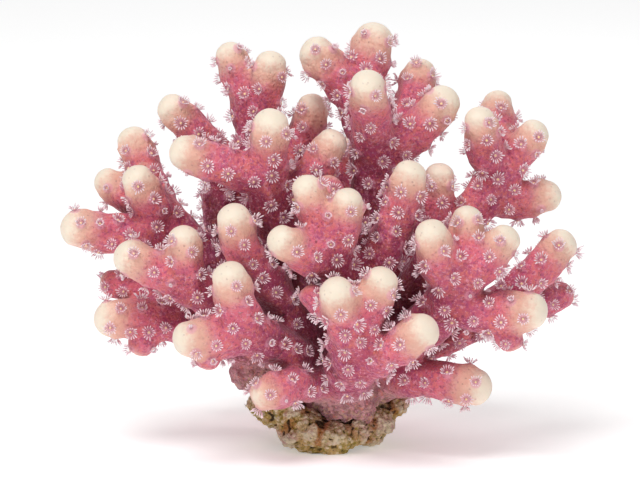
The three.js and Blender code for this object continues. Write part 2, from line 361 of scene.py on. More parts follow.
def store(mesh, name, values):
    """Keeps one number per vertex on the mesh."""
    layer = mesh.attributes.new(name, "FLOAT", "POINT")
    layer.data.foreach_set("value", np.ascontiguousarray(values, dtype=np.float32))


def read(mesh, name):
    """The number that the mesh keeps per vertex."""
    values = np.empty(len(mesh.vertices), dtype=np.float32)
    mesh.attributes[name].data.foreach_get("value", values)
    return values


def finger_tips(bud_radius):
    """Pole, direction, cap radius and lacking length of cap of every finger, read from the CAD nodes."""
    tips = []
    for name in CORAL_NODES:
        skeleton = bmesh.new()
        skeleton.from_mesh(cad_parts[name].data)
        bmesh.ops.remove_doubles(skeleton, verts=skeleton.verts, dist=SAME_POINT)
        for pole in skeleton.verts:
            spokes = [edge.calc_length() for edge in pole.link_edges]
            if len(spokes) != FINGER_SIDES or max(spokes) > SPOKE_SPREAD * min(spokes):
                continue
            ring = [edge.other_vert(pole).co for edge in pole.link_edges]
            centre = sum(ring, Vector()) / len(ring)
            radius = sum((corner - centre).length for corner in ring) / len(ring)
            if (pole.co - centre).length < POINTED * radius:
                continue
            radius /= math.cos(CAP_LIFT)
            lack = 0.0
            if radius < bud_radius or name == TRUNK_NODE:
                lack = BUD_LACK
            elif name == PALE_FINGER:
                lack = PALE_LACK
            tips.append((np.array(pole.co), np.array((pole.co - centre).normalized()), radius, lack))
        skeleton.free()
    return tips


def tip_of_each(points, ends, tips):
    """For each point of the skin, the index of the tip that is nearest along the surface."""
    beside = [[] for _ in range(len(points))]
    steps = np.linalg.norm(points[ends[:, 0]] - points[ends[:, 1]], axis=1)
    for (a, b), step in zip(ends.tolist(), steps.tolist()):
        beside[a].append((b, step))
        beside[b].append((a, step))
    best = [math.inf] * len(points)
    owner = np.zeros(len(points), dtype=int)
    queue = []
    for index, (pole, _, _, lack) in enumerate(tips):
        start = int(np.argmin(np.sum((points - pole) ** 2, axis=1)))
        queue.append((lack, start, index))
    heapq.heapify(queue)
    while queue:
        path, here, index = heapq.heappop(queue)
        if path >= best[here]:
            continue
        best[here] = path
        owner[here] = index
        for other, step in beside[here]:
            if path + step < best[other]:
                heapq.heappush(queue, (path + step, other, index))
    return owner


def tree_of(names):
    """A search tree over the surfaces of these CAD nodes, and the node that each of its faces is from."""
    corners, faces, owner = [], [], []
    for index, name in enumerate(names):
        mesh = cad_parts[name].data
        start = len(corners)
        corners += [vertex.co.copy() for vertex in mesh.vertices]
        for face in mesh.polygons:
            faces.append([start + corner for corner in face.vertices])
            owner.append(index)
    return BVHTree.FromPolygons(corners, faces), owner


def nearest_nodes(points, names):
    """For each point, the index of the named CAD node whose surface is nearest, and how far that is."""
    tree, owner = tree_of(names)
    found = [tree.find_nearest(point)[2:] for point in points]
    return np.array([owner[face] for face, away in found]), np.array([away for face, away in found])


def edge_ends(mesh):
    """The two vertices of every edge of the mesh."""
    flat = np.empty(len(mesh.edges) * 2, dtype=np.int32)
    mesh.edges.foreach_get("vertices", flat)
    return flat.reshape(-1, 2)


def spread(values, ends, passes):
    """Values per vertex, averaged with their neighbours this many times."""
    beside = np.maximum(np.bincount(ends.ravel(), minlength=len(values)), 1)
    for _ in range(passes):
        around = np.bincount(ends[:, 0], values[ends[:, 1]], len(values))
        around += np.bincount(ends[:, 1], values[ends[:, 0]], len(values))
        values = 0.5 * values + 0.5 * around / beside
    return values


def hollows_of(mesh, passes):
    """How hollow the mesh is at each vertex, averaged this many times: above 0 in a groove."""
    points, normals, ends = points_of(mesh), normals_of(mesh), edge_ends(mesh)
    apart = points[ends[:, 1]] - points[ends[:, 0]]
    bend = np.zeros(len(points))
    for here, sign in ((0, 1.0), (1, -1.0)):
        rise = sign * np.einsum("ij,ij->i", apart, normals[ends[:, here]])
        bend += np.bincount(ends[:, here], rise, len(points))
    beside = np.maximum(np.bincount(ends.ravel(), minlength=len(points)), 1)
    return spread(bend / beside, ends, passes)


def gloom_of(mesh, reach):
    """How shut in the mesh is at each vertex: 0 in the open, 1 with branches all round within this reach."""
    points, normals = points_of(mesh), normals_of(mesh)
    tree = tree_of(CORAL_NODES)[0]
    turns = np.arange(GLOOM_RAYS) + 0.5
    heights = 1.0 - 2.0 * turns / GLOOM_RAYS
    angles = turns * math.pi * (1.0 + math.sqrt(5.0))
    level = np.sqrt(1.0 - heights**2)
    rays = np.stack([level * np.cos(angles), level * np.sin(angles), heights], axis=1)
    samples = np.arange(0, len(points), GLOOM_STEP)
    near = KDTree(len(samples))
    shut = np.zeros(len(samples))
    for place, index in enumerate(samples.tolist()):
        near.insert(points[index], place)
        facing = rays @ normals[index]
        start = Vector(points[index] + GLOOM_START * normals[index])
        for ray in np.flatnonzero(facing > GLOOM_FACING):
            away = tree.ray_cast(start, Vector(rays[ray]), reach)[3]
            if away is not None:
                shut[place] += facing[ray] * (1.0 - GLOOM_FADE * away / reach)
        shut[place] /= facing[facing > GLOOM_FACING].sum()
    near.balance()
    return spread(shut[[near.find(point)[1] for point in points]], edge_ends(mesh), GLOOM_PASSES)


def one_patch_each(mesh, labels):
    """Gives small stray patches of a label to the label around them."""
    edges = {}
    for face in mesh.polygons:
        for key in face.edge_keys:
            edges.setdefault(key, []).append(face.index)
    beside = [[] for _ in range(len(labels))]
    for pair in edges.values():
        if len(pair) == 2:
            beside[pair[0]].append(pair[1])
            beside[pair[1]].append(pair[0])
    seen = np.zeros(len(labels), dtype=bool)
    patches = {}
    for start in range(len(labels)):
        if seen[start]:
            continue
        seen[start] = True
        patch, label = [start], labels[start]
        for face in patch:
            for other in beside[face]:
                if not seen[other] and labels[other] == label:
                    seen[other] = True
                    patch.append(other)
        patches.setdefault(label, []).append(patch)
    for label, found in patches.items():
        found.sort(key=len)
        for patch in found[:-1]:
            around = [labels[o] for f in patch for o in beside[f] if labels[o] != label]
            labels[patch] = max(set(around), key=around.count)
    return labels


def close_piece(piece):
    """Closes a piece's cut ends, with a sharp rim so that the skin shades smoothly up to the cut."""
    take(piece)
    bpy.ops.object.mode_set(mode="EDIT")
    bpy.ops.mesh.select_mode(type="EDGE")
    bpy.ops.mesh.select_all(action="DESELECT")
    bpy.ops.mesh.select_non_manifold(
        extend=False,
        use_wire=False,
        use_boundary=True,
        use_multi_face=False,
        use_non_contiguous=False,
        use_verts=False,
    )
    bpy.ops.mesh.mark_sharp()
    bpy.ops.mesh.fill_holes(sides=0)
    bpy.ops.object.mode_set(mode="OBJECT")
    take(piece)
    bpy.ops.object.shade_smooth()


def skin_pieces(whole, labels):
    """Cuts the whole skin into one piece per coral node."""
    for name in CORAL_NODES:
        whole.data.materials.append(bpy.data.materials.new(name))
    whole.data.polygons.foreach_set("material_index", np.ascontiguousarray(labels, dtype=np.int32))
    take(whole)
    bpy.ops.object.mode_set(mode="EDIT")
    bpy.ops.mesh.select_all(action="SELECT")
    bpy.ops.mesh.separate(type="MATERIAL")
    bpy.ops.object.mode_set(mode="OBJECT")
    pieces = {}
    for piece in list(bpy.context.selected_objects):
        slots = piece.data.materials
        index = piece.data.polygons[0].material_index if len(slots) > 1 else 0
        pieces[slots[index].name] = piece
    for name in CORAL_NODES:
        if name not in pieces:
            raise RuntimeError("no skin was found for " + name)
        piece = pieces[name]
        faces = piece.data.polygons
        faces.foreach_set("material_index", np.zeros(len(faces), dtype=np.int32))
        piece.data.materials.clear()
        piece.name = piece.data.name = name + "_skin"
        close_piece(piece)
    for name in CORAL_NODES:
        bpy.data.materials.remove(bpy.data.materials[name])
    return pieces


# Materials


class Finish:
    """A node material that is put together one node at a time."""

    def __init__(self, name):
        self.material = bpy.data.materials.new(name)
        self.material.use_nodes = True
        self.nodes = self.material.node_tree.nodes
        self.links = self.material.node_tree.links
        self.shader = self.nodes["Principled BSDF"]
        self.place = self.nodes.new("ShaderNodeTexCoord").outputs["Object"]

    def set(self, socket, value):
        """Links an output to a socket, or gives the socket a fixed value."""
        if isinstance(value, bpy.types.NodeSocket):
            self.links.new(value, socket)
        elif socket.type == "RGBA" and len(value) == 3:
            socket.default_value = (*value, 1.0)
        else:
            socket.default_value = value

    def attribute(self, name):
        """A number that the mesh keeps per vertex."""
        node = self.nodes.new("ShaderNodeAttribute")
        node.attribute_name = name
        return node.outputs["Fac"]

    def noise(self, size, detail=2.0, rough=0.5, shift=0.0):
        """Cloudy noise whose patches are about this many metres wide."""
        node = self.nodes.new("ShaderNodeTexNoise")
        node.inputs["Scale"].default_value = 1.0 / size
        node.inputs["Detail"].default_value = detail
        node.inputs["Roughness"].default_value = rough
        place = self.place
        if shift:
            move = self.nodes.new("ShaderNodeVectorMath")
            move.operation = "ADD"
            move.inputs[1].default_value = (shift, shift * 0.7, shift * 1.3)
            self.links.new(place, move.inputs[0])
            place = move.outputs[0]
        self.links.new(place, node.inputs["Vector"])
        return node.outputs["Fac"]

    def cells(self, size, output="Distance"):
        """Grains about this many metres wide: distance to a grain's middle, or a shade for each grain."""
        node = self.nodes.new("ShaderNodeTexVoronoi")
        node.inputs["Scale"].default_value = 1.0 / size
        self.links.new(self.place, node.inputs["Vector"])
        return node.outputs[output]

    def math(self, operation, first, *others):
        """One sum over all these values, from left to right."""
        for other in others:
            node = self.nodes.new("ShaderNodeMath")
            node.operation = operation
            self.set(node.inputs[0], first)
            self.set(node.inputs[1], other)
            first = node.outputs[0]
        return first

    def plus(self, *values):
        """These values added up."""
        return self.math("ADD", *values)

    def times(self, *values):
        """These values multiplied."""
        return self.math("MULTIPLY", *values)

    def span(self, value, low, high, to_low=0.0, to_high=1.0):
        """A smooth step of a value from low to high."""
        node = self.nodes.new("ShaderNodeMapRange")
        node.interpolation_type = "SMOOTHSTEP"
        self.set(node.inputs["Value"], value)
        for key, limit in (("From Min", low), ("From Max", high), ("To Min", to_low), ("To Max", to_high)):
            node.inputs[key].default_value = limit
        return node.outputs["Result"]

    def clouds(self, size, detail, rough, shift, low, high):
        """Patches about this many metres wide, where cloudy noise rises from low to high."""
        return self.span(self.noise(size, detail, rough, shift), low, high)

    def mix(self, amount, a, b):
        """A mix of two colours."""
        node = self.nodes.new("ShaderNodeMix")
        node.data_type = "RGBA"
        self.set(node.inputs["Factor"], amount)
        self.set(node.inputs["A"], a)
        self.set(node.inputs["B"], b)
        return [output for output in node.outputs if output.type == "RGBA"][0]

    def tint(self, body, shade, amount, *where):
        """The body colour with this much of a shade over it, where all these masks are 1."""
        return self.mix(self.times(*where, amount), body, shade)

    def ramp(self, value, stops):
        """A colour for each range of a value."""
        node = self.nodes.new("ShaderNodeValToRGB")
        node.color_ramp.interpolation = "EASE"
        while len(node.color_ramp.elements) < len(stops):
            node.color_ramp.elements.new(1.0)
        for element, (position, shade) in zip(node.color_ramp.elements, stops):
            element.position = position
            element.color = (*shade, 1.0)
        self.set(node.inputs["Fac"], value)
        return node.outputs["Color"]

    def bump(self, height, depth, strength):
        """Relief of this depth in metres."""
        node = self.nodes.new("ShaderNodeBump")
        node.inputs["Strength"].default_value = strength
        node.inputs["Distance"].default_value = depth
        self.set(node.inputs["Height"], height)
        return node.outputs["Normal"]

    def finish(self, **sockets):
        """Sets the shader's sockets, named with underscores for blanks."""
        for key, value in sockets.items():
            self.set(self.shader.inputs[key.replace("_", " ")], value)
        return self.material


def skin_finish(settings):
    """Living coral skin: cream caps over mottled pink, lilac round each polyp and worn at the foot, with
    painted shade deep inside and between close branches.
    """
    skin = Finish("coral skin")
    foot = skin.attribute("foot")
    fine = skin.noise(0.0012, 4.0, 0.75, 0.9)
    grains = skin.cells(0.0011, "Color")

    # Cream tips to dark insides, with a ragged edge; the darkest end is partly deeper pink and partly
    # painted shade
    ragged = skin.times(skin.noise(0.005, 3.0), 0.025)
    wander = skin.plus(ragged, skin.times(fine, 0.05), skin.times(grains, 0.02))
    along = skin.plus(skin.attribute("from_tip"), wander, -0.047)
    body = skin.ramp(
        along,
        [
            (0.07, settings.cream),
            (0.145, settings.peach),
            (0.235, settings.pink),
            (0.46, settings.rose),
            (0.8, settings.maroon_and_shade),
        ],
    )
    flesh = skin.span(along, 0.12, 0.27)
    young = skin.times(flesh, skin.span(foot, 0.5, 0.05))

    # Broad warm and cool patches
    warm = skin.plus(skin.noise(0.006, 4.0, 0.65, 0.3), skin.times(grains, 0.2))
    cool = skin.plus(skin.noise(0.006, 5.0, 0.7, 0.7), skin.times(grains, -0.25))
    outer = skin.span(along, 0.2, 0.6, 1.0, 0.4)
    body = skin.tint(body, settings.salmon, 0.55, skin.span(warm, 0.54, 0.76), flesh, outer)
    body = skin.tint(body, settings.violet, 0.55, skin.span(cool, 0.34, 0.56), young)

    # Lilac webs between the fingers and calyces under the polyps
    body = skin.tint(body, settings.lilac, 0.25, skin.span(skin.attribute("hollow"), 0.3, 0.9), flesh)
    body = skin.tint(body, settings.lilac, 0.6, skin.span(skin.attribute("calyx"), 0.25, 0.6))

    # Old, worn and crumbling skin beside the stone
    aged = skin.clouds(0.002, 5.0, 0.75, 0.2, 0.26, 0.48)
    body = skin.tint(body, settings.old, 0.85, skin.span(foot, 0.0, 0.6), aged)
    worn = skin.clouds(0.0016, 4.0, 0.7, 0.5, 0.44, 0.6)
    body = skin.tint(body, settings.tan, 0.85, skin.span(foot, 0.3, 0.9), worn)
    crumbs = skin.plus(skin.cells(0.0017), skin.times(fine, 0.6))
    body = skin.tint(body, settings.speck, 0.5, skin.span(crumbs, 0.66, 0.9), skin.span(foot, 0.15, 0.7))

    # Fine mottling: shade, patch width, roughness, shift, start and full strength, amount, and where it is
    mottling = (
        (settings.lilac, 0.0011, 0.75, 0.4, 0.52, 0.66, 0.85, flesh),
        (settings.salmon, 0.0015, 0.7, 0.15, 0.54, 0.68, 0.65, flesh),
        (settings.violet, 0.0013, 0.7, 0.55, 0.52, 0.66, 0.75, young),
    )
    for shade, width, rough, shift, low, high, amount, where in mottling:
        body = skin.tint(body, shade, amount, skin.clouds(width, 3.0, rough, shift, low, high), where)
    body = skin.tint(body, settings.speck, 0.65, skin.span(fine, 0.54, 0.7), flesh)

    # Pores, fainter on the caps
    pores = skin.times(skin.span(skin.cells(0.0022), 0.22, 0.08), skin.span(fine, 0.42, 0.56))
    body = skin.mix(skin.times(pores, skin.span(along, 0.06, 0.2, 0.2, 0.45)), body, settings.speck)

    # Painted shade: dark red where other branches stand close and shut the skin in
    body = skin.tint(body, settings.painted_gap_shade, 0.7, skin.span(skin.attribute("gloom"), 0.42, 0.85), young)

    # Grain, smoother on the caps and rougher at the foot
    relief = skin.plus(fine, skin.times(skin.cells(0.0011), -0.7))
    relief = skin.times(relief, skin.span(along, 0.05, 0.18, 0.2, 1.0), skin.span(foot, 0.1, 0.8, 1.0, 2.2))
    return skin.finish(
        Base_Color=body,
        Roughness=skin.span(fine, 0.3, 0.7, 0.42, 0.6),
        Normal=skin.bump(relief, 0.0006, 0.9),
        Sheen_Weight=0.35,
        Sheen_Roughness=0.4,
        Sheen_Tint=(1.0, 0.75, 0.85),
        Subsurface_Weight=0.15,
        Subsurface_Radius=(1.0, 0.5, 0.4),
        Subsurface_Scale=0.0008,
        Specular_IOR_Level=0.4,
    )


def polyp_finish(settings):
    """Glassy tentacles, whiter towards their ends, round a yellow mouth, with a painted glow that stands in
    for light shining through them.
    """
    polyp = Finish("polyp flesh")
    rod = polyp.ramp(
        polyp.attribute("reach"),
        [(0.1, settings.disc_colour), (0.3, settings.root_colour), (0.75, settings.tip_colour)],
    )
    rod = polyp.mix(polyp.span(polyp.attribute("mouth"), 0.45, 0.8), rod, settings.mouth_colour)
    shade = polyp.span(polyp.noise(0.004), 0.35, 0.7, 0.0, 0.25)
    return polyp.finish(
        Base_Color=polyp.mix(shade, rod, settings.root_colour),
        Roughness=polyp.span(polyp.noise(0.0015), 0.3, 0.7, 0.3, 0.5),
        Subsurface_Weight=0.6,
        Subsurface_Radius=(1.0, 0.8, 0.9),
        Subsurface_Scale=0.0006,
        # Painted light: a faint glow of their own, in place of light shining through them
        Emission_Color=tuple(settings.root_colour),
        Emission_Strength=settings.glow,
    )


def rock_finish(settings):
    """Weathered reef stone: chalky and lilac knobs over olive and brown growth, rusty in its gaps, with
    painted shade in its hollows and painted highlight on its grain tops.
    """
    rock = Finish("reef rock")
    gap, knob, pit = rock.attribute("gap"), rock.attribute("knob"), rock.attribute("pit")
    fine = rock.noise(0.0012, 5.0, 0.7)
    broad = rock.noise(0.007, 4.0, 0.6, 0.4)

    # Bare stone with brown and olive growth
    body = rock.ramp(
        rock.plus(rock.times(fine, 0.5), rock.times(broad, 0.5)),
        [(0.33, settings.umber_and_shade), (0.43, settings.olive), (0.56, settings.tan), (0.7, settings.chalk)],
    )

    # Chalk and lilac crust on the knobs and beside the coral's foot, and pale grain tops that are partly
    # painted highlight
    crown = rock.plus(rock.times(fine, 0.5), knob, rock.times(gap, -1.0))
    crust = rock.mix(rock.clouds(0.004, 4.0, 0.7, 0.8, 0.46, 0.58), settings.chalk, settings.lilac)
    body = rock.tint(body, crust, 0.7, rock.span(crown, 0.2, 0.55))
    body = rock.tint(body, settings.lilac, 0.6, rock.attribute("shoulder"), rock.span(fine, 0.35, 0.55))
    # Worn, pale tops of the grains, partly painted highlight where the stone bulges out
    body = rock.tint(body, settings.chalk, 0.75, rock.span(pit, 0.46, 0.15), rock.span(gap, 0.7, 0.5))

    # Rusty growth, painted shade in the hollows and fine grit
    rusty = rock.clouds(0.006, 3.0, 0.5, 0.1, 0.48, 0.58)
    body = rock.tint(body, settings.rust, 0.55, rock.span(gap, 0.48, 0.7), rusty)
    # Painted shade: dark brown in the gaps, pits and low ground between the knobs
    hollows = (rock.span(gap, 0.66, 1.1), rock.span(pit, 0.59, 0.9), rock.span(knob, 0.22, 0.02))
    body = rock.tint(body, settings.umber_and_shade, 0.92, rock.math("MAXIMUM", *hollows))
    grit = rock.noise(0.0009, 4.0, 0.75, 0.6)
    body = rock.tint(body, settings.chalk, 0.4, rock.span(grit, 0.46, 0.34))
    body = rock.tint(body, settings.umber_and_shade, 0.55, rock.span(grit, 0.54, 0.66))
    return rock.finish(
        Base_Color=body,
        Roughness=rock.span(fine, 0.3, 0.7, 0.7, 0.95),
        Normal=rock.bump(rock.plus(rock.noise(0.0007, 5.0, 0.7), rock.cells(0.0009)), 0.0008, 1.0),
        Specular_IOR_Level=0.25,
    )


def floor_finish(settings):
    """Matt white floor that glows a little, as a lit table does."""
    floor = Finish("pale floor")
    return floor.finish(
        Base_Color=tuple(settings.floor),
        Roughness=floor.span(floor.noise(0.4, 1.0), 0.3, 0.7, 0.85, 0.95),
        Emission_Color=(1.0, 1.0, 1.0),
        Emission_Strength=settings.floor_glow,
    )


# Operators


class CORAL_OT_skin(bpy.types.Operator):
    """Grow the skin over all branches and cut it into one piece per branch"""

    bl_idname = "coral.skin"
    bl_label = "Grow Skin"

    def execute(self, context):
        settings = context.scene.coral_skin
        whole = swollen_copy(CORAL_NODES, "coral_skin", settings.growth, settings.grain, settings.rounding)
        tips = finger_tips(settings.bud_radius)
        owner = tip_of_each(points_of(whole.data), edge_ends(whole.data), tips)
        self.round_caps(whole.data, tips, owner)
        self.wear_foot(whole, settings)
        raise_bumps(whole, "CLOUDS", settings.lump_size, settings.lump_height)
        self.mark(whole.data, settings, tips, owner)
        centres = np.empty(len(whole.data.polygons) * 3)
        whole.data.polygons.foreach_get("center", centres)
        labels = one_patch_each(whole.data, nearest_nodes(centres.reshape(-1, 3), CORAL_NODES)[0])
        finish = skin_finish(settings)
        for name, piece in skin_pieces(whole, labels).items():
            piece.data.materials.append(finish)
            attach(piece, "root")
            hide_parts(name)
        return {"FINISHED"}

    def round_caps(self, mesh, tips, owner):
        """Swells the end of every finger into a round dome."""
        points = points_of(mesh)
        poles, axes, radii, _ = (np.array(column) for column in zip(*tips))
        out = points - (poles - axes * radii[:, None])[owner]
        away = np.linalg.norm(out, axis=1) / radii[owner]
        ahead = np.einsum("ij,ij->i", out, axes[owner]) / radii[owner]
        dome = np.clip(ahead / DOME_FADE, 0.0, 1.0) * np.clip((DOME_REACH - away) / DOME_FADE, 0.0, 1.0)
        move_points(mesh, points + out * (dome * (1.0 / away - 1.0))[:, None])

    def wear_foot(self, whole, settings):
        """Keeps on the skin how near the stone it is, and makes it knobbly there."""
        from_stone = nearest_nodes(points_of(whole.data), [ROCK_NODE])[1]
        foot = np.clip(1.0 - from_stone / settings.foot_reach, 0.0, 1.0)
        store(whole.data, "foot", foot)
        worn = whole.vertex_groups.new(name="worn foot")
        for index in np.flatnonzero(foot).tolist():
            worn.add([index], float(foot[index]), "REPLACE")
        raise_bumps(whole, "VORONOI", settings.foot_knob, -settings.foot_knob, vertex_group=worn.name)
        whole.vertex_groups.clear()

    def mark(self, mesh, settings, tips, owner):
        """Keeps on the skin how far each point is from a finger tip, how hollow it is and how shut in."""
        poles, _, radii, lack = (np.array(column) for column in zip(*tips))
        away = np.linalg.norm(points_of(mesh) - poles[owner], axis=1)
        away = away * FINGER_RADIUS / radii[owner] + lack[owner]
        store(mesh, "from_tip", np.clip(away / PATH_SCALE, 0.0, 1.0))
        hollow = hollows_of(mesh, WEB_PASSES) / (WEB_BEND * settings.grain)
        store(mesh, "hollow", np.clip(hollow, 0.0, 1.0))
        # how shut in each point is: it lays painted shade on the skin and keeps polyps out of the gaps
        store(mesh, "gloom", gloom_of(mesh, settings.gloom_reach))


class CORAL_OT_polyps(bpy.types.Operator):
    """Set the polyps on the skin, one joined mesh per branch"""

    bl_idname = "coral.polyps"
    bl_label = "Set Polyps"

    def execute(self, context):
        settings = context.scene.coral_polyps
        forms = [self.form(settings, open_share, size) for open_share, size, _ in POLYP_FORMS]
        finish = polyp_finish(settings)
        chance = np.random.default_rng(POLYP_SEED)
        taken = {}
        tree = tree_of(CORAL_NODES)[0]
        for name in CORAL_NODES:
            skin = bpy.data.objects.get(name + "_skin")
            if skin is None:
                raise RuntimeError("the skin of " + name + " comes before its polyps")
            sites = self.sites(skin.data, settings, chance, taken, tree)
            if not sites:
                raise RuntimeError("no polyp fits on " + name)
            self.shade(skin.data, sites, settings)
            piece = self.planted(name + "_polyps", sites, forms, settings, chance)
            piece.data.materials.append(finish)
            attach(piece, "root")
        for form in forms:
            bpy.data.objects.remove(form)
        return {"FINISHED"}

    def form(self, settings, open_share, size):
        """One polyp on the origin, mouth up: tentacles with thick ends round a low mouth."""
        inner = DISC_RADIUS * settings.across * size
        outer = max(0.5 * settings.across * size * open_share, SHUT_WIDTH * inner)
        rise = settings.stand * size * (1.0 + SHUT_RISE * (1.0 - open_share))
        piece = self.tentacle(settings, inner, outer, rise)
        bpy.ops.object.mode_set(mode="EDIT")
        bpy.ops.mesh.select_all(action="SELECT")
        bpy.ops.mesh.spin(
            steps=settings.tentacles - 1,
            dupli=True,
            angle=2.0 * math.pi * (settings.tentacles - 1) / settings.tentacles,
            center=(0.0, 0.0, 0.0),
            axis=(0.0, 0.0, 1.0),
        )
        bpy.ops.object.mode_set(mode="OBJECT")
        away = np.linalg.norm(points_of(piece.data), axis=1)
        along = np.clip((away - inner) / (away.max() - inner), 0.0, 1.0)
        store(piece.data, "mouth", np.zeros(len(piece.data.vertices)))
        store(piece.data, "reach", ROOT_REACH + (1.0 - ROOT_REACH) * along)
        mouth = self.mouth(inner)
        take(piece)
        mouth.select_set(True)
        bpy.ops.object.join()
        return piece

    def tentacle(self, settings, inner, outer, rise):
        """One tentacle on the disc's edge: a rod that leans out to this radius and height, with a bead."""
        neck = math.hypot(outer - inner, rise) - 2.0 * settings.bead
        clear_selection()
        bpy.ops.mesh.primitive_cone_add(
            vertices=3,
            radius1=settings.rod,
            radius2=0.0,
            depth=neck,
            location=(0.0, 0.0, neck / 2),
            rotation=(math.pi, 0.0, 0.0),
        )
        piece = bpy.context.object
        bpy.ops.object.transform_apply(location=True, rotation=True, scale=True)
        end = max(piece.data.polygons, key=lambda face: face.center.z)
        for face in piece.data.polygons:
            face.select = face == end
        bpy.ops.object.mode_set(mode="EDIT")
        bpy.ops.mesh.extrude_region_move(TRANSFORM_OT_translate={"value": (0.0, 0.0, settings.bead)})
        widen = settings.bead / settings.rod
        bpy.ops.transform.resize(value=(widen, widen, 1.0), center_override=(0.0, 0.0, neck + settings.bead))
        bpy.ops.mesh.poke(offset=settings.bead)
        bpy.ops.object.mode_set(mode="OBJECT")
        piece.rotation_euler = (0.0, math.atan2(outer - inner, rise), 0.0)
        piece.location = (inner, 0.0, 0.0)
        bpy.ops.object.transform_apply(location=True, rotation=True, scale=True)
        return piece

    def mouth(self, inner):
        """The low mound of the disc, with the mouth on top."""
        clear_selection()
        bpy.ops.mesh.primitive_cone_add(
            vertices=MOUTH_SIDES,
            radius1=inner * MOUTH_FOOT,
            radius2=inner * MOUTH_TOP,
            depth=MOUTH_HEIGHT,
            location=(0.0, 0.0, MOUTH_HEIGHT / 2),
        )
        bpy.ops.object.transform_apply(location=True, rotation=True, scale=True)
        piece = bpy.context.object
        store(piece.data, "mouth", points_of(piece.data)[:, 2] > MOUTH_HEIGHT / 2)
        store(piece.data, "reach", np.zeros(len(piece.data.vertices)))
        return piece

    def sites(self, mesh, settings, chance, taken, tree):
        """Points and normals for the polyps of one branch, kept apart from each other and off the caps."""
        points, normals = points_of(mesh), normals_of(mesh)
        away, hollow = read(mesh, "from_tip"), read(mesh, "hollow")
        foot, gloom = read(mesh, "foot"), read(mesh, "gloom")
        sites = []
        cell = settings.spacing
        for index in chance.permutation(len(points))[: len(points) // TRIED_SHARE]:
            point, normal = points[index], normals[index]
            if away[index] * PATH_SCALE < settings.bare_cap * chance.uniform(*CAP_RANGE):
                continue
            if hollow[index] > settings.bare_web or foot[index] > settings.bare_foot:
                continue
            if gloom[index] > settings.bare_gap * chance.uniform(*GAP_RANGE):
                continue
            if normal[2] < chance.uniform(*UNDERSIDE):
                continue
            if tree.ray_cast(Vector(point + POLYP_CLEARANCE * normal), Vector(normal), settings.across)[0]:
                continue
            home = tuple(np.floor(point / cell).astype(int))
            near = (
                other
                for i in (-1, 0, 1)
                for j in (-1, 0, 1)
                for k in (-1, 0, 1)
                for other in taken.get((home[0] + i, home[1] + j, home[2] + k), ())
            )
            if any(np.sum((other - point) ** 2) < cell * cell for other in near):
                continue
            taken.setdefault(home, []).append(point)
            sites.append((point, normal))
        return sites

    def shade(self, mesh, sites, settings):
        """Keeps on the skin how far it lies under a polyp, and lifts it there into a low mound."""
        tree = KDTree(len(sites))
        for index, (point, _) in enumerate(sites):
            tree.insert(point, index)
        tree.balance()
        points = points_of(mesh)
        near = np.array([tree.find(point)[2] for point in points]) / (0.5 * settings.across)
        under = np.clip(CALYX_REACH - near, 0.0, 1.0)
        store(mesh, "calyx", under)
        rise = settings.mound * under * under * (3.0 - 2.0 * under)
        move_points(mesh, points + normals_of(mesh) * rise[:, None])

    def planted(self, title, sites, forms, settings, chance):
        """All polyps of one branch as one mesh, each turned, sized and swayed a little differently."""
        kept = []
        for form in forms:
            shape = points_of(form.data)
            turn = np.arctan2(shape[:, 1], shape[:, 0]) * settings.tentacles / (2.0 * math.pi)
            rod = np.round(turn).astype(int) % settings.tentacles
            faces = [list(face.vertices) for face in form.data.polygons]
            kept.append((shape, rod, faces, read(form.data, "reach"), read(form.data, "mouth")))
        shares = [share for _, _, share in POLYP_FORMS]
        corners, sides, reach, mouth, start = [], [], [], [], 0
        for point, normal in sites:
            shape, rod, faces, along, inside = kept[chance.choice(len(kept), p=shares)]
            up = normal + np.array((0.0, 0.0, settings.upturn))
            up /= np.linalg.norm(up)
            side = np.cross(up, (0.0, 0.0, 1.0) if abs(up[2]) < UPRIGHT else (1.0, 0.0, 0.0))
            side /= np.linalg.norm(side)
            turn, size = chance.uniform(0.0, 2.0 * math.pi), chance.uniform(*POLYP_SIZES)
            across = math.cos(turn) * side + math.sin(turn) * np.cross(up, side)
            axes = np.stack([across, np.cross(up, across), up])
            sway = chance.normal(0.0, SWAY, (settings.tentacles, 2))[rod] * along[:, None]
            out, lift = 1.0 + sway[:, 0], 1.0 + 2.0 * sway[:, 1]
            swayed = shape * size * np.stack([out, out, lift], axis=1)
            corners.append(point + normal * settings.mound + swayed @ axes)
            sides += [[corner + start for corner in face] for face in faces]
            reach.append(along)
            mouth.append(inside)
            start += len(shape)
        mesh = bpy.data.meshes.new(title)
        mesh.from_pydata(np.concatenate(corners), [], sides)
        store(mesh, "reach", np.concatenate(reach))
        store(mesh, "mouth", np.concatenate(mouth))
        piece = bpy.data.objects.new(title, mesh)
        bpy.context.collection.objects.link(piece)
        take(piece)
        bpy.ops.object.shade_smooth()
        return piece


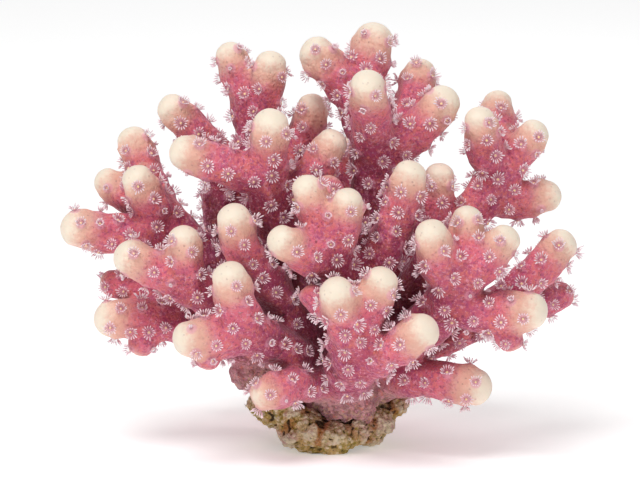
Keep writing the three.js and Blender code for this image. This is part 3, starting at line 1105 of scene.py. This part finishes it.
class CORAL_OT_rock(bpy.types.Operator):
    """Roughen the loose stone under the colony"""

    bl_idname = "coral.rock"
    bl_label = "Roughen Stone"

    def execute(self, context):
        settings = context.scene.coral_rock
        rock = swollen_copy([ROCK_NODE], "rock_stone", settings.crust, settings.grain, CRUST_PASSES)
        finish_modifier(rock, "DISPLACE", strength=-CRUST_CUT * settings.crust, mid_level=0.0)
        mesh = rock.data
        store(mesh, "gap", 0.5 + hollows_of(mesh, GAP_PASSES) / (GAP_BEND * settings.grain))
        even, outward = points_of(mesh), normals_of(mesh)
        raise_bumps(rock, "CLOUDS", settings.knob_size, CLOUD_HEIGHT * settings.knob_height)
        raise_bumps(rock, "VORONOI", settings.knob_size, -settings.knob_height)
        finish_modifier(rock, "SMOOTH", factor=0.5, iterations=KNOB_PASSES)
        raise_bumps(rock, "VORONOI", settings.grit_size, -settings.grit_height)
        mesh = rock.data
        raised = np.einsum("ij,ij->i", points_of(mesh) - even, outward)
        store(mesh, "knob", 0.5 + raised / (KNOB_SPAN * settings.knob_height))
        store(mesh, "pit", 0.5 + hollows_of(mesh, PIT_PASSES) / (PIT_BEND * settings.grain))
        from_trunk = nearest_nodes(points_of(mesh), [TRUNK_NODE])[1]
        store(mesh, "shoulder", np.clip(1.0 - from_trunk / settings.shoulder, 0.0, 1.0))
        self.cut_foot(rock)
        rock.data.materials.append(rock_finish(settings))
        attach(rock, "root")
        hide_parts(ROCK_NODE)
        return {"FINISHED"}

    def cut_foot(self, rock):
        """Cuts the stone off flat where it stands, and shades it smoothly but for its sharp edges."""
        take(rock)
        bpy.ops.object.mode_set(mode="EDIT")
        bpy.ops.mesh.select_all(action="SELECT")
        bpy.ops.mesh.bisect(
            plane_co=(0.0, 0.0, FOOT_CUT),
            plane_no=(0.0, 0.0, 1.0),
            use_fill=True,
            clear_inner=True,
            clear_outer=False,
        )
        bpy.ops.object.mode_set(mode="OBJECT")
        take(rock)
        bpy.ops.object.shade_smooth_by_angle(angle=SHARP_ANGLE)


class CORAL_OT_stage(bpy.types.Operator):
    """Lay the floor, set the lights and place the camera"""

    bl_idname = "coral.stage"
    bl_label = "Set Stage"

    def execute(self, context):
        settings = context.scene.coral_stage
        clear_selection()
        bpy.ops.mesh.primitive_plane_add(size=FLOOR_SIZE)
        floor = context.object
        floor.name = floor.data.name = "floor"
        floor.data.materials.append(floor_finish(settings))
        for title, place, width, aim, power in LAMPS:
            self.lamp(title, place, width, aim, getattr(settings, power))
        world = bpy.data.worlds.new("studio")
        world.use_nodes = True
        sky = world.node_tree.nodes["Background"]
        sky.inputs["Color"].default_value = (1.0, 1.0, 1.0, 1.0)
        sky.inputs["Strength"].default_value = settings.sky
        context.scene.world = world
        context.scene.view_settings.view_transform = "Standard"
        tilt = settings.elevation
        target = Vector((0.0, math.sin(tilt), math.cos(tilt))) * settings.aim
        place = target + Vector((0.0, -math.cos(tilt), math.sin(tilt))) * settings.distance
        bpy.ops.object.camera_add(location=place, rotation=(math.pi / 2 - tilt, 0.0, 0.0))
        camera = context.object
        camera.data.lens = settings.lens
        camera.data.sensor_width = SENSOR
        camera.data.clip_end = VIEW_END
        context.scene.camera = camera
        return {"FINISHED"}

    def lamp(self, title, place, width, aim, power):
        """A soft square light that faces its aim."""
        turn = (Vector(aim) - Vector(place)).to_track_quat("-Z", "Y").to_euler()
        bpy.ops.object.light_add(type="AREA", location=place, rotation=turn)
        lamp = bpy.context.object
        lamp.name = lamp.data.name = title
        lamp.data.size = width
        lamp.data.energy = power


class CORAL_PT_panel(bpy.types.Panel):
    """Coral pieces and their settings"""

    bl_idname = "CORAL_PT_panel"
    bl_label = "Cat's Paw Coral"
    bl_space_type = "VIEW_3D"
    bl_region_type = "UI"
    bl_category = "Coral"

    def draw(self, context):
        for operator, group in STEPS:
            column = self.layout.box().column()
            column.operator(operator)
            settings = getattr(context.scene, group)
            for key in settings.__annotations__:
                column.prop(settings, key)


STEPS = (
    ("coral.rock", "coral_rock"),
    ("coral.skin", "coral_skin"),
    ("coral.polyps", "coral_polyps"),
    ("coral.stage", "coral_stage"),
)
GROUPS = {
    "coral_rock": CoralRockSettings,
    "coral_skin": CoralSkinSettings,
    "coral_polyps": CoralPolypSettings,
    "coral_stage": CoralStageSettings,
}
CLASSES = (*GROUPS.values(), CORAL_OT_rock, CORAL_OT_skin, CORAL_OT_polyps, CORAL_OT_stage, CORAL_PT_panel)


def register():
    """Adds the classes and their settings to Blender."""
    for cls in CLASSES:
        bpy.utils.register_class(cls)
    for name, group in GROUPS.items():
        setattr(bpy.types.Scene, name, bpy.props.PointerProperty(type=group))


def unregister():
    """Takes the classes and their settings out again."""
    for name in GROUPS:
        delattr(bpy.types.Scene, name)
    for cls in reversed(CLASSES):
        bpy.utils.unregister_class(cls)


def main():
    """Builds every piece in order."""
    register()
    bpy.ops.coral.rock()
    bpy.ops.coral.skin()
    bpy.ops.coral.polyps()
    bpy.ops.coral.stage()


if __name__ == "__main__":
    main()
